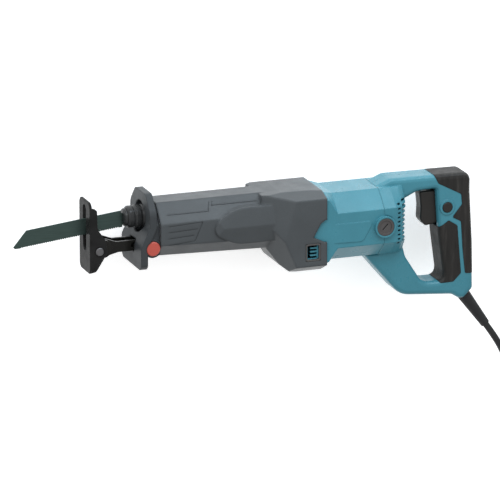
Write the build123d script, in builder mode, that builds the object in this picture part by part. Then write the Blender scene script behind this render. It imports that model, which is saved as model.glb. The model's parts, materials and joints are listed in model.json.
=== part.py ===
"""A corded reciprocating saw, lying on its right side.

Outlines use the saw's own directions: x runs from the blade to the rear handle, y from the sole
of the shoe to the top of the handle, and z towards the saw's left side. Their zero is where the
motor's axis meets the line through its two brushes.
"""

from build123d import *
import math
import os

os.makedirs("parts", exist_ok=True)

# ---------------------------------------------------------------- driving dimensions (millimetres)
HALF_WIDTH = 46.5            # the gear case, from the middle of the saw to each side
DATUM_X = 138.9              # the brush line, from the middle of the saw's length
DATUM_Y = 43.1               # the motor's axis, from the middle of the saw's height
RUN = 0.05                   # radial play of a shaft in its bearing
PLAY = 0.25                  # gap between a piece and its seat

# blade and plunger
PLUNGER_Y = 28.5             # the plunger's axis, above the motor's
PLUNGER_R = 8.0
STROKE = 30.0                # the plunger rests halfway
BLADE_LENGTH = 152.0
BLADE_HEIGHT = 19.0
BLADE_THICK = 1.0
BLADE_TILT = 6.3             # degrees, nose down
TANG_HALF = 6.35             # the usual half-inch shank
PIN_X = -283.0               # the blade's lock pin

# shoe
SHOE_X = -340.0              # front face of the shoe
SHOE_HALF = 19.0
SHOE_TOP = 53.0
SHOE_BOTTOM = -29.0
SHOE_SHEET = 2.5
PIVOT = (-329.0, -2.8)
PIVOT_R = 3.0
BAR_TOP = 3.5
BAR_BOTTOM = -8.5
BAR_HALF = 9.0
BAR_REAR = -168.0
BUTTON = (-270.7, -2.1)      # shoe release button
BUTTON_R = 8.2

# barrel and gear case
COVER = 3.0                  # thickness of the insulating cover
CASE_WALL = 4.5
BARREL_FRONT = -262.0
BARREL_REAR = -126.0
CASE_REAR = -70.5
JOINT_X = -96.3              # where the gear housing ends and the motor housing starts
GEAR_X = -100.0              # the crank gear's axis
GEAR_TEETH = 48
PINION_TEETH = 12
GEAR_R = 32.0                # pitch radius at the outer end of the teeth
FACE = 9.0                   # length of the teeth along the pinion
GEAR_TOP = 14.0
CRANK_R = STROKE / 2
SPINDLE_R = 7.5

# motor
MOTOR_TOP = 39.2
MOTOR_BOTTOM = -38.0
MOTOR_HALF = 42.0
SHELL = 2.8                  # thickness of the plastic shells
CORE_FRONT = -42.0
CORE_REAR = -12.0
CORE_R = 20.0
SHAFT_R = 5.0
BRUSH_R = 12.5               # the commutator
BOSS_R = 12.5                # the ring round a brush cap

# handle and cord
HANDLE_HALF = 17.5
GRIP_SKIN = 1.6
LOCK_BUTTON = (85.6, 7.2)       # lock-on button
CORD_EXIT = (111.5, -100.0)
CORD_DIRECTION = (0.584, -0.812)
GUARD_LENGTH = 50.0
CORD_D = 7.6

# ---------------------------------------------------------------- where the saw's directions lie


def side(z=0.0):
    """A plane seen from the saw's left, z from its middle: x to the rear, y up."""
    return Plane(origin=(DATUM_X, DATUM_Y, HALF_WIDTH + z))


def front(x, y=0.0, z=0.0):
    """A plane across the saw at x, seen from the front: its own x to the left, y up."""
    return Plane(origin=(DATUM_X + x, DATUM_Y + y, HALF_WIDTH + z), x_dir=(0, 0, 1), z_dir=(-1, 0, 0))


def top(y, x=0.0, z=0.0):
    """A plane seen from above the saw at y: its own x to the rear, y to the right."""
    return Plane(origin=(DATUM_X + x, DATUM_Y + y, HALF_WIDTH + z), x_dir=(1, 0, 0), z_dir=(0, 1, 0))


def place(x, y, z):
    """A point of the saw, as a point of the model."""
    return Vector(DATUM_X + x, DATUM_Y + y, HALF_WIDTH + z)


def trim(a, b, c, inset=0.0):
    """Cut away what is further from the saw's middle than the plane through three points."""
    points = [place(*point) for point in (a, b, c)]
    along = points[1] - points[0]
    normal = along.cross(points[2] - points[0])
    if normal.Z * (a[2] + b[2] + c[2]) < 0:
        normal = -normal
    split(bisect_by=Plane(points[0], x_dir=along, z_dir=normal).offset(-inset), keep=Keep.BOTTOM)


def save(piece, label):
    piece.part.label = label
    export_step(piece.part, f"parts/{label}.step")


# ---------------------------------------------------------------- plain shapes that many pieces use


def cylinder_x(x_front, x_rear, radius, y=0.0, z=0.0, mode=Mode.ADD):
    """A cylinder along the saw."""
    with Locations(front((x_front + x_rear) / 2, y, z)):
        Cylinder(radius, x_rear - x_front, mode=mode)


def cylinder_y(x, y_low, y_high, radius, z=0.0, mode=Mode.ADD):
    """A cylinder up the saw."""
    with Locations(top((y_low + y_high) / 2, x, z)):
        Cylinder(radius, y_high - y_low, mode=mode)


def cylinder_z(x, y, z_low, z_high, radius, mode=Mode.ADD):
    """A cylinder across the saw."""
    with Locations((DATUM_X + x, DATUM_Y + y, HALF_WIDTH + (z_low + z_high) / 2)):
        Cylinder(radius, z_high - z_low, mode=mode)


def block(x, y, z, mode=Mode.ADD):
    """A block between two values in each direction."""
    middle = (DATUM_X + sum(x) / 2, DATUM_Y + sum(y) / 2, HALF_WIDTH + sum(z) / 2)
    with Locations(middle):
        Box(x[1] - x[0], y[1] - y[0], z[1] - z[0], mode=mode)


def outline(plane, *corners, inset=0.0):
    """A filled outline on a plane. A corner is (x, y), or (x, y, radius) where it is round."""
    with BuildSketch(plane) as sketch:
        with BuildLine():
            radii = [corner[2] if len(corner) == 3 else 0 for corner in corners]
            FilletPolyline(*[corner[:2] for corner in corners], radius=radii, close=True)
        make_face()
        if inset:
            offset(amount=-inset, kind=Kind.INTERSECTION)
    return sketch.sketch


def octagon(x, half_width, high, low, flat_high, flat_low, side_high, side_low, inset=0.0):
    """An eight-sided section of the saw at x, its edges moved in by inset."""
    slide = 0.41 * inset
    right = [
        (flat_high - slide, high - inset),
        (half_width - inset, side_high - slide),
        (half_width - inset, side_low + slide),
        (flat_low - slide, low + inset),
    ]
    return outline(front(x), *right, *[(-z, y) for z, y in reversed(right)])


def coil_spring(start, direction, height, turns, radius, wire):
    """A spring wound about a line from its start, its wire a radius wide on each side."""
    with BuildPart() as spring:
        with BuildLine() as path:
            Helix(height / turns, height, radius, center=start, direction=direction)
        with BuildSketch(Plane(path.line @ 0, z_dir=path.line % 0)):
            Circle(wire)
        sweep(path=path.line)
    return spring.part


# ---------------------------------------------------------------- barrel and gear case


def boot_section(x, inset):
    """The barrel's section, whose underside drops slightly towards the rear."""
    low = -14.0 - 4.0 * (x - BARREL_FRONT) / (BARREL_REAR - BARREL_FRONT)
    return octagon(x, 33.5, 45.5, low, 14, 19, 25, low + 15, inset)


def barrel_shape(inset, x_rear=CASE_REAR):
    """The outside of the barrel and gear case, or the shape that lies inset below it."""
    case_side = [
        (CASE_REAR + 20, 44.5), (-88, 46.3), (-118, 46.5), (-141, 45.0), (-145, 0), (-132, -20),
        (-120, -37), (-110, -45), (-100, -47.2), (CASE_REAR + 20, -47),
    ]
    half = HALF_WIDTH - inset
    with BuildPart() as case:
        extrude(outline(side(), *case_side, inset=inset), amount=half, both=True)
        for hand in (1, -1):
            trims = [
                ((-140, 46.2, 27 * hand), (-70, 46.2, 27 * hand), (-70, 40, 46.5 * hand)),
                ((-70, -47.2, 26 * hand), (-140, -47.2, 26 * hand), (-140, -37, 46.5 * hand)),
                ((-107, 40, 46.5 * hand), (-120, -6, 46.5 * hand), (-143, -6, 33.5 * hand)),
                ((-120, -6, 46.5 * hand), (-106.4, -37, 46.5 * hand), (-123, -38, 20 * hand)),
            ]
            for corners in trims:
                trim(*corners, inset=inset)
        split(bisect_by=front(x_rear), keep=Keep.TOP)
    with BuildPart() as shape:
        loft([boot_section(BARREL_FRONT, inset), boot_section(BARREL_REAR, inset)], ruled=True)
        add(case.part)
    return shape.part


def thumb_swell(inset):
    """The long low swelling along each side of the barrel, peaked along its middle."""
    with BuildPart() as swell:
        corners = [(-122, 35.5), (-176, 35.5, 50), (-208, 14, 11), (-176, -6, 50), (-122, -6)]
        extrude(outline(side(24), *corners, inset=inset), amount=14.5 - inset)
        for slope in (
            ((-122, 14.5, 38.5), (-208, 14.5, 38.5), (-170, 35.5, 34)),
            ((-208, 14.5, 38.5), (-122, 14.5, 38.5), (-170, -6, 34)),
            ((-208, 0, 32.5), (-208, 30, 32.5), (-190, 0, 38.5)),
        ):
            trim(*slope, inset=inset)
        mirror(about=side())
    return swell.part


def groove(plane, *points):
    """A shallow open groove's outline along a line of points."""
    with BuildSketch(plane) as sketch:
        with BuildLine() as line:
            Polyline(*points)
        trace(line.line, line_width=0.9)
    return sketch.sketch


# the sloping facet between the barrel's top and its left side, and the way out of its mirror image
FACET_OUT = Vector(0, 19.5, 20.5).normalized()
UPPER_FACET = Plane(place(0, 35.25, 23.75), x_dir=(1, 0, 0), z_dir=FACET_OUT)
MIRRORED_FACET = Vector(0, FACET_OUT.Y, -FACET_OUT.Z)

with BuildPart() as barrel_cover:
    add(barrel_shape(0.0))
    add(thumb_swell(0.0))
    add(barrel_shape(COVER), mode=Mode.SUBTRACT)
    # a notch in each side's rear edge shows the motor housing
    notch = outline(
        side(30), (-72.4, 15.6), (-77.8, 12), (-86.6, -3.5), (-72.8, -10.2), (-60, -10.2), (-60, 15.6)
    )
    extrude(notch, amount=20, mode=Mode.SUBTRACT)
    extrude(notch.mirror(side()), amount=-20, mode=Mode.SUBTRACT)
    # a small window in each side over the motor housing's cooling slots
    for hand in (1, -1):
        block((-94, -80), (-29, -12.5), sorted((36 * hand, 48 * hand)), mode=Mode.SUBTRACT)
        block((-96, -78), (-31, -10.5), sorted((45.7 * hand, 48 * hand)), mode=Mode.SUBTRACT)
    # outlines sunk into the sides
    for points in (
        [(-253, 22), (-213, 24), (-222, 3), (-253, 0.5)],
        [(-253, 15), (-219, 16.5)],
        [(-253, 8), (-223, 9.5)],
        [(-250, -4.5), (-218, -6.5)],
    ):
        cut = groove(side(33.5), *points)
        extrude(cut, amount=-0.7, mode=Mode.SUBTRACT)
        extrude(cut.mirror(side()), amount=0.7, mode=Mode.SUBTRACT)
    for points in ([(-252, -3), (-204, -3), (-200.5, 9)], [(-196.5, 9.5), (-198.5, 4), (-145, 4)]):
        cut = groove(UPPER_FACET, *points)
        extrude(cut, amount=-0.7, mode=Mode.SUBTRACT)
        extrude(cut.mirror(side()), amount=-0.7, dir=MIRRORED_FACET, mode=Mode.SUBTRACT)
save(barrel_cover, "barrel_cover")

GUARD_SIDE = [
    (-275, 60), (-275, 22, 12), (-285.5, 0, 12), (-285.5, -30), (-277.5, -30), (-277.5, -1, 6),
    (-267, 21, 6), (-267, 60),
]
GUARD_FACE = [(17, 57.5, 8), (34, 39, 13), (34, -21, 5), (29, -26, 4)]

with BuildPart() as front_guard:
    extrude(outline(side(), *GUARD_SIDE), amount=36, both=True)
    face = [*GUARD_FACE, *[(-z, y, r) for z, y, r in reversed(GUARD_FACE)]]
    extrude(outline(front(-260), *face), amount=30, mode=Mode.INTERSECT)
    # the neck that carries it, and the round housing of the shoe's release button
    neck = octagon(BARREL_FRONT - PLAY, 33.5, 45.5, -14, 14, 19, 25, 1, inset=4)
    extrude(neck, amount=10)
    cylinder_z(*BUTTON, -31, 31, 10.5)
    split(bisect_by=front(BARREL_FRONT - PLAY), keep=Keep.TOP)
    cylinder_x(-290, -255, 18, PLUNGER_Y, mode=Mode.SUBTRACT)
    block((-290, -255), (BAR_BOTTOM - 1, BAR_TOP + 1), (-BAR_HALF - 1, BAR_HALF + 1), mode=Mode.SUBTRACT)
    recess = outline(front(-262), (-15, 21), (15, 21), (7, 7), (-7, 7))
    extrude(recess, amount=16, mode=Mode.SUBTRACT)
    cylinder_z(*BUTTON, 22, 34, BUTTON_R + PLAY, mode=Mode.SUBTRACT)
    cylinder_z(*BUTTON, 8, 24, PIVOT_R + PLAY, mode=Mode.SUBTRACT)
save(front_guard, "front_guard")

with BuildPart() as case_hollow:
    add(barrel_shape(COVER + CASE_WALL))
    split(bisect_by=front(-136), keep=Keep.BOTTOM)

with BuildPart() as spindle_boss:
    add(barrel_shape(COVER + PLAY + SHELL + 0.4))
    cylinder_y(GEAR_X, -46, -1, 19.5, mode=Mode.INTERSECT)

with BuildPart() as gear_housing:
    add(barrel_shape(COVER + PLAY, JOINT_X))
    add(case_hollow.part, mode=Mode.SUBTRACT)
    add(spindle_boss.part)
    cylinder_y(GEAR_X, -34.3, 0, 16.1, mode=Mode.SUBTRACT)
    # the bore for the plunger, its seal and its two bushes, and the space that the clamp moves in
    cylinder_x(BARREL_FRONT - 1, -243, 17, PLUNGER_Y, mode=Mode.SUBTRACT)
    cylinder_x(-244, -238, 13.1, PLUNGER_Y, mode=Mode.SUBTRACT)
    cylinder_x(-239, -212, 12.1, PLUNGER_Y, mode=Mode.SUBTRACT)
    cylinder_x(-213, -125, 9.5, PLUNGER_Y, mode=Mode.SUBTRACT)
    cylinder_x(-161, -135, 12.1, PLUNGER_Y, mode=Mode.SUBTRACT)
    # the channel for the shoe's guide bar
    block(
        (BARREL_FRONT - 1, -150), (BAR_BOTTOM - 0.5, BAR_TOP + 0.5), (-BAR_HALF - 0.5, BAR_HALF + 0.5),
        mode=Mode.SUBTRACT,
    )
save(gear_housing, "gear_housing")

with BuildPart() as plunger_seal:
    cylinder_x(-242.8, -238.2, 13, PLUNGER_Y)
    cylinder_x(-242.8, -238.2, PLUNGER_R + RUN, PLUNGER_Y, mode=Mode.SUBTRACT)
    cylinder_x(-242.8, -241.3, PLUNGER_R + 1.5, PLUNGER_Y, mode=Mode.SUBTRACT)
save(plunger_seal, "plunger_seal")

for label, x_front, x_rear in (("front_bush", -237.8, -212.2), ("rear_bush", -160.8, -136.5)):
    with BuildPart() as bush:
        cylinder_x(x_front, x_rear, 12, PLUNGER_Y)
        cylinder_x(x_front, x_rear, PLUNGER_R + RUN, PLUNGER_Y, mode=Mode.SUBTRACT)
    save(bush, label)

# ---------------------------------------------------------------- blade, plunger and clamp

PLUNGER_AXIS = Axis(place(0, PLUNGER_Y, 0), (1, 0, 0))
BLADE_PLANE = Plane(side().from_local_coords(Vector(PIN_X, PLUNGER_Y, -BLADE_THICK / 2))).rotated(
    (0, 0, BLADE_TILT)
)
SHOULDER = -14.0             # where the blade widens, in front of its lock pin
TOOTH_PITCH = 2.5
TOOTH_DEPTH = 1.1
TEETH = 46

with BuildPart() as saw_blade:
    half = BLADE_HEIGHT / 2
    tang_end = SHOULDER + 24.6
    tip = tang_end - BLADE_LENGTH
    teeth = []
    for number in range(TEETH):
        x = tip + 8 + number * TOOTH_PITCH
        teeth += [(x, -half), (x + TOOTH_PITCH * 0.72, -half + TOOTH_DEPTH)]
    corners = [
        (tip + 17, half), (tip, -half + 2.8), (tip + 1.3, -half + 0.6), *teeth,
        (tip + 8 + TEETH * TOOTH_PITCH, -half), (SHOULDER, -half), (SHOULDER, -TANG_HALF),
        (tang_end, -TANG_HALF), (tang_end, TANG_HALF), (SHOULDER, TANG_HALF), (SHOULDER, half),
    ]
    extrude(outline(BLADE_PLANE, *corners), amount=BLADE_THICK)
    cylinder_z(PIN_X, PLUNGER_Y, -2, 2, 2.7, mode=Mode.SUBTRACT)
save(saw_blade, "saw_blade")

YOKE = (-111.0, -89.0)
ROLLER_R = 5.25

with BuildPart() as plunger_rod:
    block(YOKE, (PLUNGER_Y - 7.5, PLUNGER_Y + 7.5), (-23, 23))
    chamfer(plunger_rod.edges().filter_by(Axis.X).group_by(Axis.Y)[-1], 2.5)
    cylinder_x(-291.5, YOKE[0] + 1, PLUNGER_R, PLUNGER_Y)
    block(
        (GEAR_X - ROLLER_R - 0.2, GEAR_X + ROLLER_R + 0.2), (PLUNGER_Y - 9, PLUNGER_Y + 9), (-20.6, 20.6),
        mode=Mode.SUBTRACT,
    )
    # the slot for the blade, and the cross hole for its pin
    with Locations(BLADE_PLANE.offset(BLADE_THICK / 2)):
        Box(34, 2 * TANG_HALF + 0.6, BLADE_THICK + 0.4, mode=Mode.SUBTRACT)
    cylinder_z(PIN_X, PLUNGER_Y, -9, 9, 2.45, mode=Mode.SUBTRACT)
save(plunger_rod, "plunger_rod")

with BuildPart() as blade_lock_pin:
    cylinder_z(PIN_X, PLUNGER_Y, -7.9, 7.9, 2.4)
save(blade_lock_pin, "blade_lock_pin")

RIDGE = [(-270, 13.2), (-264, 13.2), (-264.6, 14), (-269.4, 14)]

with BuildPart() as finger_ridge:
    extrude(outline(side(), *[(x, PLUNGER_Y + r) for x, r in RIDGE]), amount=0.7, both=True)

with BuildPart() as clamp_sleeve:
    rings = [
        (-292, 8.3), (-292, 11.0), (-290.4, 12.4), (-285.6, 12.4), (-284.4, 11.7), (-283.4, 11.7),
        (-282, 12.9), (-277.4, 12.9), (-276.2, 12.1), (-275, 12.1), (-272.6, 13.5), (-263, 13.5),
        (-262, 12.6), (-262, 11.4), (-272, 11.4), (-272, 8.3),
    ]
    revolve(outline(side(), *[(x, PLUNGER_Y + r) for x, r in rings]), axis=PLUNGER_AXIS)
    for number in range(16):
        add(finger_ridge.part.rotate(PLUNGER_AXIS, number * 360 / 16))
save(clamp_sleeve, "clamp_sleeve")

with BuildPart() as clamp_spring:
    add(coil_spring(place(-264, PLUNGER_Y, 0), (-1, 0, 0), 7.0, 3, 9.7, 0.6))
save(clamp_spring, "clamp_spring")

with BuildPart() as clamp_ring:
    cylinder_x(-262.9, -262.1, 11.2, PLUNGER_Y)
    cylinder_x(-262.9, -262.1, PLUNGER_R + PLAY, PLUNGER_Y, mode=Mode.SUBTRACT)
save(clamp_ring, "clamp_retaining_ring")

with BuildPart() as clamp_cap:
    revolve(
        outline(
            side(), (-296.2, PLUNGER_Y), (-296.2, PLUNGER_Y + 8.2), (-294.8, PLUNGER_Y + 9.8),
            (-292.3, PLUNGER_Y + 10.2), (-292.3, PLUNGER_Y),
        ),
        axis=PLUNGER_AXIS,
    )
    with Locations(BLADE_PLANE.offset(BLADE_THICK / 2)):
        Box(60, 2 * TANG_HALF + 0.6, BLADE_THICK + 0.4, mode=Mode.SUBTRACT)
save(clamp_cap, "clamp_cap")

# ---------------------------------------------------------------- shoe

SLOT = (-5.0, 48.0)
SHOE_SIDE = [
    (SHOE_X + 1.3, SHOE_TOP - 5, 2), (-331.5, SHOE_TOP - 8, 4), (-331, 23, 12), (-321, 8, 9),
    (-319.5, -5, 8), (-332, -24.5, 12), (-333.5, SHOE_BOTTOM + 3, 2), (SHOE_X + 1.3, SHOE_BOTTOM + 2),
]

with BuildPart() as shoe_plate:
    with BuildSketch(front(SHOE_X + SHOE_SHEET)):
        with Locations((0, (SHOE_TOP + SHOE_BOTTOM) / 2)):
            RectangleRounded(2 * SHOE_HALF, SHOE_TOP - SHOE_BOTTOM, 7)
    extrude(amount=SHOE_SHEET)
    fillet(shoe_plate.faces().sort_by(Axis.X)[0].edges(), 1.2)
    for hand in (1, -1):
        cheek = outline(side((SHOE_HALF - SHOE_SHEET) * hand), *SHOE_SIDE)
        extrude(cheek, amount=SHOE_SHEET * hand)
    with BuildSketch(front(SHOE_X + 6)):
        with Locations((0, sum(SLOT) / 2)):
            SlotOverall(SLOT[1] - SLOT[0], 11, rotation=90)
    extrude(amount=10, mode=Mode.SUBTRACT)
    cylinder_z(*PIVOT, -22, 22, PIVOT_R + RUN, mode=Mode.SUBTRACT)
save(shoe_plate, "shoe_plate")

BAR_SIDE = [
    (-336, -2), (-335, 3, 4), (-327, 9.5, 4), (-318, 8, 6), (-306, BAR_TOP, 10), (BAR_REAR, BAR_TOP),
    (BAR_REAR, BAR_BOTTOM), (-304, BAR_BOTTOM, 10), (-318, -12, 8), (-331, -10.5, 5),
]

with BuildPart() as shoe_guide_bar:
    extrude(outline(side(), *BAR_SIDE), amount=BAR_HALF, both=True)
    # the fork that holds the shoe's pivot is wider than the bar
    fork = outline(side(), *BAR_SIDE[:4], (-312, 0), *BAR_SIDE[-2:])
    extrude(fork, amount=SHOE_HALF - SHOE_SHEET - 0.4, both=True)
    # the bar is a channel, open on top, and its fork lets the shoe's slot through
    block((-320, BAR_REAR - 4), (BAR_BOTTOM + 3, 30), (-BAR_HALF + 3, BAR_HALF - 3), mode=Mode.SUBTRACT)
    block((-340, -319), (-30, 30), (-12, 12), mode=Mode.SUBTRACT)
    cylinder_z(*PIVOT, -20, 20, PIVOT_R + PLAY, mode=Mode.SUBTRACT)
    for number in range(4):
        cylinder_z(BUTTON[0] + 15 * number - 15, BUTTON[1], 5, 12, 3.4, mode=Mode.SUBTRACT)
save(shoe_guide_bar, "shoe_guide_bar")

with BuildPart() as shoe_pivot_pin:
    cylinder_z(*PIVOT, -19.3, 19.3, PIVOT_R)
    for hand in (1, -1):
        cylinder_z(*PIVOT, *sorted((19.3 * hand, 21 * hand)), PIVOT_R + 1.6)
    chamfer(shoe_pivot_pin.faces().sort_by(Axis.Z)[-1].edges(), 0.6)
    chamfer(shoe_pivot_pin.faces().sort_by(Axis.Z)[0].edges(), 0.6)
save(shoe_pivot_pin, "shoe_pivot_pin")

with BuildPart() as shoe_lock_button:
    cylinder_z(*BUTTON, 26, 32.8, BUTTON_R)
    chamfer(shoe_lock_button.faces().sort_by(Axis.Z)[-1].edges(), 0.8)
    cylinder_z(*BUTTON, 12.6, 27, PIVOT_R)
save(shoe_lock_button, "shoe_lock_button")

with BuildPart() as shoe_lock_spring:
    add(coil_spring(place(*BUTTON, 22.7), (0, 0, 1), 2.7, 2.25, 4.6, 0.35))
save(shoe_lock_spring, "shoe_lock_spring")

# ---------------------------------------------------------------- crank gear and its spindle

PRESSURE = math.radians(20)
SPREAD = 0.90                # share of the half pitch that a tooth fills, which leaves backlash
TOOTH_REAR = GEAR_R          # distances from the crossing of the two axes
TOOTH_FRONT = GEAR_R - FACE


def module(distance):
    """The teeth's module on a plane across the pinion, which shrinks towards the crossing."""
    return 2 * distance / GEAR_TEETH


def pinion_section(distance):
    """The bevel pinion's outline, its flanks as involutes."""
    pitch_radius = distance * PINION_TEETH / GEAR_TEETH
    base = pitch_radius * math.cos(PRESSURE)
    half_angle = SPREAD * math.pi / 2 / PINION_TEETH
    at_pitch = half_angle + math.tan(PRESSURE) - PRESSURE
    tip = pitch_radius + 0.85 * module(distance)
    flank = []
    for radius in (base * 1.001, (base + pitch_radius) / 2, pitch_radius, tip):
        roll = math.acos(base / radius)
        flank.append((radius, at_pitch - (math.tan(roll) - roll)))
    root = pitch_radius - 1.1 * module(distance)
    flank.insert(0, (root, flank[0][1] + 0.03))
    corners = []
    for number in range(PINION_TEETH):
        middle = (number + 0.5) * 2 * math.pi / PINION_TEETH
        turns = [(r, middle + a) for r, a in reversed(flank)]
        turns = [(r, middle - a) for r, a in flank] + turns
        corners += [(r * math.sin(a), r * math.cos(a)) for r, a in turns]
    return outline(front(GEAR_X + distance), *corners)


def gear_tooth_section(distance):
    """One tooth of the crank gear, which points down at the pinion."""
    pitch_y = distance * PINION_TEETH / GEAR_TEETH
    half = SPREAD * math.pi * distance / GEAR_TEETH / 2
    low = 0.8 * module(distance)
    high = 1.6 * module(distance)
    slope = math.tan(PRESSURE)
    corners = [
        (half + high * slope, pitch_y + high), (half - low * slope, pitch_y - low),
        (-half + low * slope, pitch_y - low), (-half - high * slope, pitch_y + high),
    ]
    return outline(front(GEAR_X + distance), *corners)


GEAR_AXIS = Axis(place(GEAR_X, 0, 0), (0, 1, 0))

with BuildPart() as one_tooth:
    loft([gear_tooth_section(TOOTH_FRONT), gear_tooth_section(TOOTH_REAR)], ruled=True)

with BuildPart() as crank_gear:
    root = 0.302                 # slope of the cone between the teeth
    web = [
        (GEAR_X, 1.5), (GEAR_X + 12, 1.5), (GEAR_X + 12, 6.5), (GEAR_X + 21.5, 21.5 * root),
        (GEAR_X + 33, 33 * root), (GEAR_X + 33, GEAR_TOP), (GEAR_X, GEAR_TOP),
    ]
    revolve(outline(side(), *web), axis=GEAR_AXIS)
    add([one_tooth.part.rotate(GEAR_AXIS, number * 360 / GEAR_TEETH) for number in range(GEAR_TEETH)])
    cylinder_y(GEAR_X, 0, 15, SPINDLE_R, mode=Mode.SUBTRACT)
    with Locations(top(GEAR_TOP, GEAR_X)):
        with PolarLocations(22, 6, start_angle=30):
            Hole(3.2)
save(crank_gear, "crank_gear")

with BuildPart() as crank_spindle:
    cylinder_y(GEAR_X, -34, GEAR_TOP, SPINDLE_R - 0.02)
save(crank_spindle, "crank_spindle")

with BuildPart() as crank_pin:
    with Locations(top(GEAR_TOP + 2.9, GEAR_X, CRANK_R)):
        Cylinder(ROLLER_R, 5.4)
        Cylinder(3.0, 5.4, mode=Mode.SUBTRACT)
        Cylinder(2.95, 5.8)
save(crank_pin, "crank_pin_and_roller")

with BuildPart() as counterweight:
    with BuildSketch(top(GEAR_TOP + 0.1, GEAR_X)):
        Circle(31)
        Circle(19, mode=Mode.SUBTRACT)
        with Locations((0, -20)):
            Rectangle(70, 40, mode=Mode.SUBTRACT)
    extrude(amount=5)
    with Locations(top(GEAR_TOP + 5.1, GEAR_X)):
        with PolarLocations(25, 3, start_angle=30, angular_range=120, endpoint=True):
            CounterBoreHole(1.6, 3.0, 2.0)
save(counterweight, "counterweight")

with BuildPart() as crank_bearings:
    for low, high in ((-34.0, -25.0), (-10.5, -1.5)):
        cylinder_y(GEAR_X, low, high, 16)
        cylinder_y(GEAR_X, low, high, SPINDLE_R + RUN, mode=Mode.SUBTRACT)
        for y in (low, high):
            with Locations(top(y, GEAR_X)):
                Torus(11.8, 1.5, mode=Mode.SUBTRACT)
save(crank_bearings, "crank_bearings")

with BuildPart() as bearing_spacer:
    cylinder_y(GEAR_X, -24.9, -10.6, 16)
    cylinder_y(GEAR_X, -24.9, -10.6, 13.5, mode=Mode.SUBTRACT)
save(bearing_spacer, "bearing_spacer")

# ---------------------------------------------------------------- motor

COLLAR = (43.2, 42.2, -43.8, 27, 25, 36.8, -34.6)
BODY = (MOTOR_HALF, MOTOR_TOP, MOTOR_BOTTOM, 22, 22, 20, -20)
BELL_R = 25.0


def motor_shape(inset):
    """The outside of the motor housing, with the wide collar that goes into the cover."""
    with BuildPart() as shape:
        for (x_front, first), (x_rear, second) in (
            ((JOINT_X + PLAY, COLLAR), (-67, COLLAR)),
            ((-67, COLLAR), (-56, BODY)),
            ((-56, BODY), (-0.1, BODY)),
        ):
            loft([octagon(x_front, *first, inset), octagon(x_rear, *second, inset)], ruled=True)
    return shape.part


with BuildPart() as motor_housing:
    add(motor_shape(0.0))
    add(motor_shape(SHELL), mode=Mode.SUBTRACT)
    # the web and bell that carry the brushes and the rear bearing
    extrude(octagon(-5, *BODY, 1), amount=3)
    cylinder_x(-6, 24.5, BELL_R)
    cylinder_x(-9, 14.8, BELL_R - 2.5, mode=Mode.SUBTRACT)
    cylinder_x(14, 22.2, 11.1, mode=Mode.SUBTRACT)
    cylinder_x(20, 26, 7, mode=Mode.SUBTRACT)
    for hand in (1, -1):
        cylinder_z(0, 0, *sorted((34.2 * hand, HALF_WIDTH * hand)), BOSS_R)
        cylinder_z(0, 0, *sorted((20 * hand, 35 * hand)), 8.6)
        cylinder_z(0, 0, *sorted((36 * hand, 50 * hand)), 10.4, mode=Mode.SUBTRACT)
        cylinder_z(0, 0, *sorted((15 * hand, 40 * hand)), 7.1, mode=Mode.SUBTRACT)
        # pads that hold the stator
        block((CORE_FRONT, CORE_REAR), (-4, 4), sorted((33.8 * hand, 40 * hand)))
        block((CORE_FRONT, CORE_REAR), sorted((33.8 * hand, 36.5 * hand)), (-4, 4))
        # cooling slots under the cover's windows
        for number in range(4):
            y = -27 + 4.2 * number
            block((-92.5, -81.5), (y - 1.2, y + 1.2), sorted((38 * hand, 48 * hand)), mode=Mode.SUBTRACT)
        block((-92.5, -89.5), (-28.2, -13.2), sorted((38 * hand, 48 * hand)), mode=Mode.SUBTRACT)
        # a low raised panel on each side
    panel = outline(
        side(MOTOR_HALF - 1), (-62, -14, 3), (-26, -15, 6), (-15.5, 3, 5), (-15.5, 8, 3), (-62, 8, 3),
    )
    extrude(panel, amount=1.6)
    mirror(about=side())
save(motor_housing, "motor_housing")

with BuildPart() as bearing_plate:
    extrude(octagon(-57.2, *BODY, 3.2), amount=8.2)
    cylinder_x(-66, -57, 14.05, mode=Mode.SUBTRACT)
    for number in range(8):
        angle = math.radians(22.5 + 45 * number)
        cylinder_x(-66, -57, 5, 25 * math.cos(angle), 25 * math.sin(angle), mode=Mode.SUBTRACT)
save(bearing_plate, "bearing_plate")

with BuildPart() as front_bearing:
    cylinder_x(-65.2, -57.2, 14)
    cylinder_x(-65.2, -57.2, SHAFT_R + RUN, mode=Mode.SUBTRACT)
    for x in (-65.2, -57.2):
        with Locations(front(x)):
            Torus(9.6, 1.5, mode=Mode.SUBTRACT)
save(front_bearing, "front_bearing")

with BuildPart() as rear_bearing:
    cylinder_x(15.0, 22.0, 11)
    cylinder_x(15.0, 22.0, 4.0 + RUN, mode=Mode.SUBTRACT)
    for x in (15.0, 22.0):
        with Locations(front(x)):
            Torus(7.6, 1.2, mode=Mode.SUBTRACT)
save(rear_bearing, "rear_bearing")

with BuildPart() as armature_shaft:
    loft([pinion_section(TOOTH_FRONT), pinion_section(TOOTH_REAR)], ruled=True)
    cylinder_x(GEAR_X + TOOTH_REAR, 11, SHAFT_R)
    cylinder_x(11, 22.5, 4.0)
save(armature_shaft, "armature_shaft")

with BuildPart() as armature_core:
    with BuildSketch(front(CORE_REAR)):
        Circle(CORE_R)
        Circle(SHAFT_R + 0.02, mode=Mode.SUBTRACT)
        with PolarLocations(CORE_R - 4, 14):
            SlotOverall(9.4, 3.0, mode=Mode.SUBTRACT)
    extrude(amount=CORE_REAR - CORE_FRONT)
save(armature_core, "armature_core")

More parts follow.
